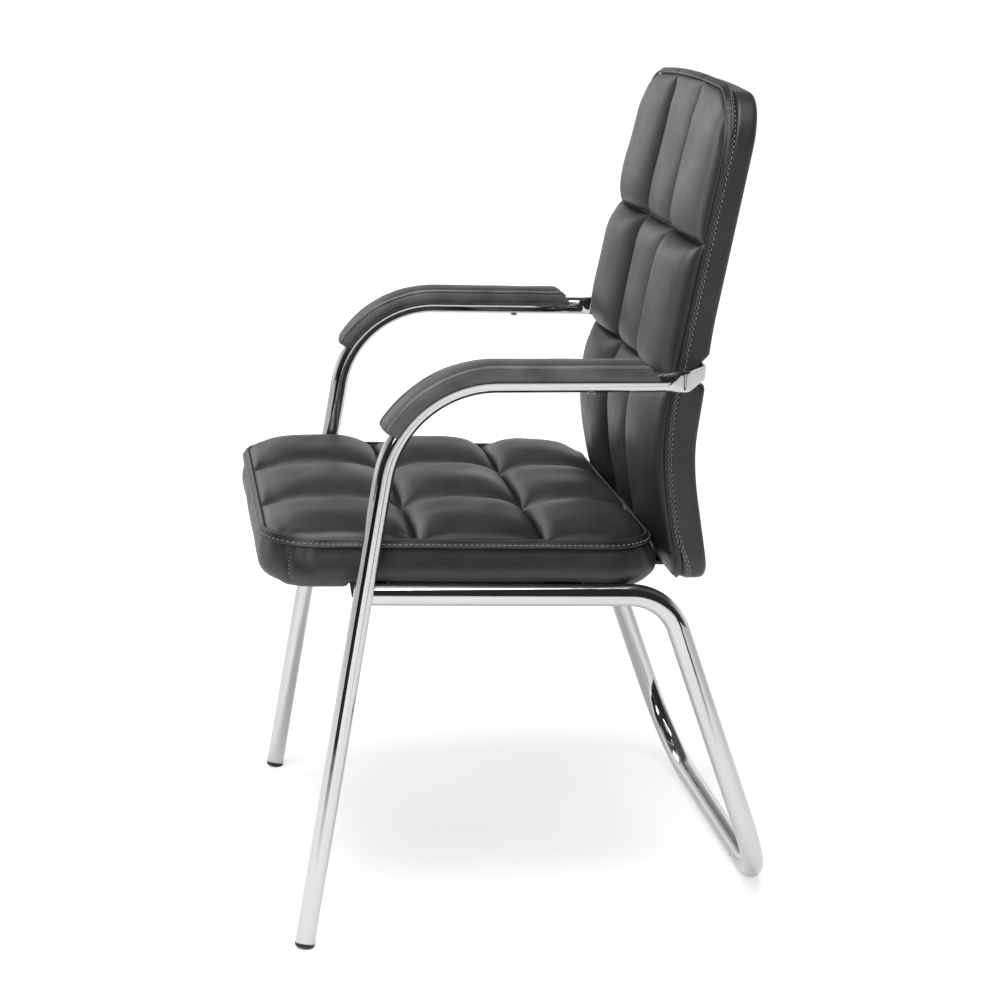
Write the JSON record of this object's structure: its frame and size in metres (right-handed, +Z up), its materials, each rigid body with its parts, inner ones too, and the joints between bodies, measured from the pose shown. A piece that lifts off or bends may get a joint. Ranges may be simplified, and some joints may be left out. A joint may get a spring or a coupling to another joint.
{
  "type": "sled base visitor chair",
  "caption": "Visitor armchair with a quilted leather seat and back on a bent chrome tube frame: U-shaped rear sled base, front legs that run on into padded arms.",
  "frame": {"origin": "on the floor, below the middle of the whole chair's bounding box", "axes": "+Z up, the sitter faces -Y, the sitter's left is +X"},
  "size_m": [0.6064, 0.5938, 0.9402],
  "materials": {
    "chrome_tube": "bright chrome plate on bent steel tube",
    "black_steel": "semi-gloss black powder coat",
    "zinc_fastener": "bright zinc plate",
    "black_plastic": "fine moulded grain",
    "plywood": "unfinished plywood",
    "leather": "soft black bonded leather, satin",
    "leather_welt": "folded black leather strip, satin",
    "dust_cloth": "thin black non-woven cloth"
  },
  "bodies": {
    "root": {"left_arm_leg": "chrome_tube", "left_foot_plug": "black_plastic", "left_arm_pad": "leather", "left_arm_pad_core": "black_plastic", "left_arm_pad_screw": "zinc_fastener", "left_back_bracket": "black_steel", "left_bracket_seat_screw": "zinc_fastener", "left_bracket_back_screw": "zinc_fastener", "left_back_bolt": "zinc_fastener", "left_back_bolt_washer": "zinc_fastener", "left_back_tee_nut": "zinc_fastener", "right_arm_leg": "chrome_tube", "right_foot_plug": "black_plastic", "right_arm_pad": "leather", "right_arm_pad_core": "black_plastic", "right_arm_pad_screw": "zinc_fastener", "right_back_bracket": "black_steel", "right_bracket_seat_screw": "zinc_fastener", "right_bracket_back_screw": "zinc_fastener", "right_back_bolt": "zinc_fastener", "right_back_bolt_washer": "zinc_fastener", "right_back_tee_nut": "zinc_fastener", "front_left_seat_bolt": "zinc_fastener", "front_left_seat_bolt_washer": "zinc_fastener", "front_left_seat_tee_nut": "zinc_fastener", "front_right_seat_bolt": "zinc_fastener", "front_right_seat_bolt_washer": "zinc_fastener", "front_right_seat_tee_nut": "zinc_fastener", "rear_left_seat_bolt": "zinc_fastener", "rear_left_seat_bolt_washer": "zinc_fastener", "rear_left_seat_tee_nut": "zinc_fastener", "rear_right_seat_bolt": "zinc_fastener", "rear_right_seat_bolt_washer": "zinc_fastener", "rear_right_seat_tee_nut": "zinc_fastener", "rear_frame": "chrome_tube", "front_seat_bar": "black_steel", "rear_seat_bar": "black_steel", "seat_board": "plywood", "seat_cushion": "leather", "seat_welt": "leather_welt", "seat_dust_cover": "dust_cloth", "back_board": "plywood", "back_cushion": "leather", "back_welt": "leather_welt", "back_rear_shell": "leather"}
  },
  "joints": []
}
